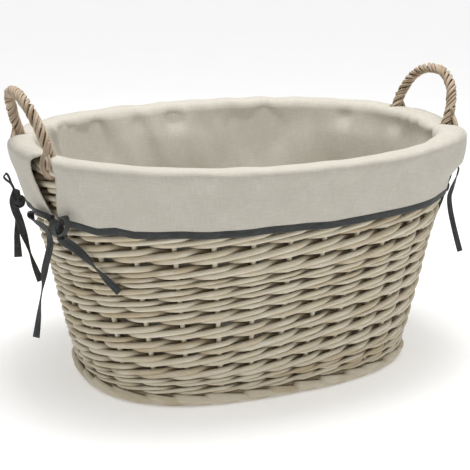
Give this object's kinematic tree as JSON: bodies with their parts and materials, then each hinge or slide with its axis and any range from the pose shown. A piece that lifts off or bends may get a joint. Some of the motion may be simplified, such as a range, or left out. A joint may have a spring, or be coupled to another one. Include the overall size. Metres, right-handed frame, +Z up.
{
  "type": "laundry basket",
  "caption": "Oval woven willow laundry basket with rope-twisted willow handles and a removable cloth liner whose flaps fold over the rim and tie with bows.",
  "frame": {"origin": "on the floor plane, under the middle of the foot border", "axes": "+X along the basket's long side towards the right handle, -Y towards the front, +Z up"},
  "size_m": [0.6143, 0.4738, 0.3918],
  "materials": {
    "willow": "whitewashed grey-beige split and round willow, matt, with darker grain and shadowed gaps",
    "inner_willow": "plain willow rods, matt, a little browner than the weave",
    "handle_willow": "tan twisted willow rods, matt to slightly waxy",
    "linen": "natural cream linen-look cotton, plain weave with slubs, matt",
    "tape": "slate grey folded cotton bias tape, matt"
  },
  "bodies": {
    "root": {"wale_row_01": "willow", "wale_row_02": "willow", "wale_row_03": "willow", "wale_row_04": "willow", "wale_row_05": "willow", "wale_row_06": "willow", "wale_row_07": "willow", "wale_row_08": "willow", "wale_row_09": "willow", "wale_row_10": "willow", "wale_row_11": "willow", "wale_row_12": "willow", "wale_row_13": "willow", "wale_row_14": "willow", "upsett_row_1": "willow", "upsett_row_2": "willow", "foot_border": "willow", "top_border": "willow", "base_weave": "willow", "stakes": "inner_willow", "base_frame": "inner_willow", "handle_left_core": "handle_willow", "handle_left_wrap": "handle_willow", "handle_left_foot_back": "handle_willow", "handle_left_foot_front": "handle_willow", "handle_right_core": "handle_willow", "handle_right_wrap": "handle_willow", "handle_right_foot_back": "handle_willow", "handle_right_foot_front": "handle_willow", "liner_floor": "linen", "liner_wall": "linen", "liner_flap_front": "linen", "liner_flap_right": "linen", "liner_flap_back": "linen", "liner_flap_left": "linen", "hem_tape_front": "tape", "hem_tape_right": "tape", "hem_tape_back": "tape", "hem_tape_left": "tape", "bow_front_left_knot": "tape", "bow_front_left_tie_1": "tape", "bow_front_left_tie_2": "tape", "bow_front_right_knot": "tape", "bow_front_right_tie_1": "tape", "bow_front_right_tie_2": "tape", "bow_back_left_knot": "tape", "bow_back_left_tie_1": "tape", "bow_back_left_tie_2": "tape", "bow_back_right_knot": "tape", "bow_back_right_tie_1": "tape", "bow_back_right_tie_2": "tape"}
  },
  "joints": []
}
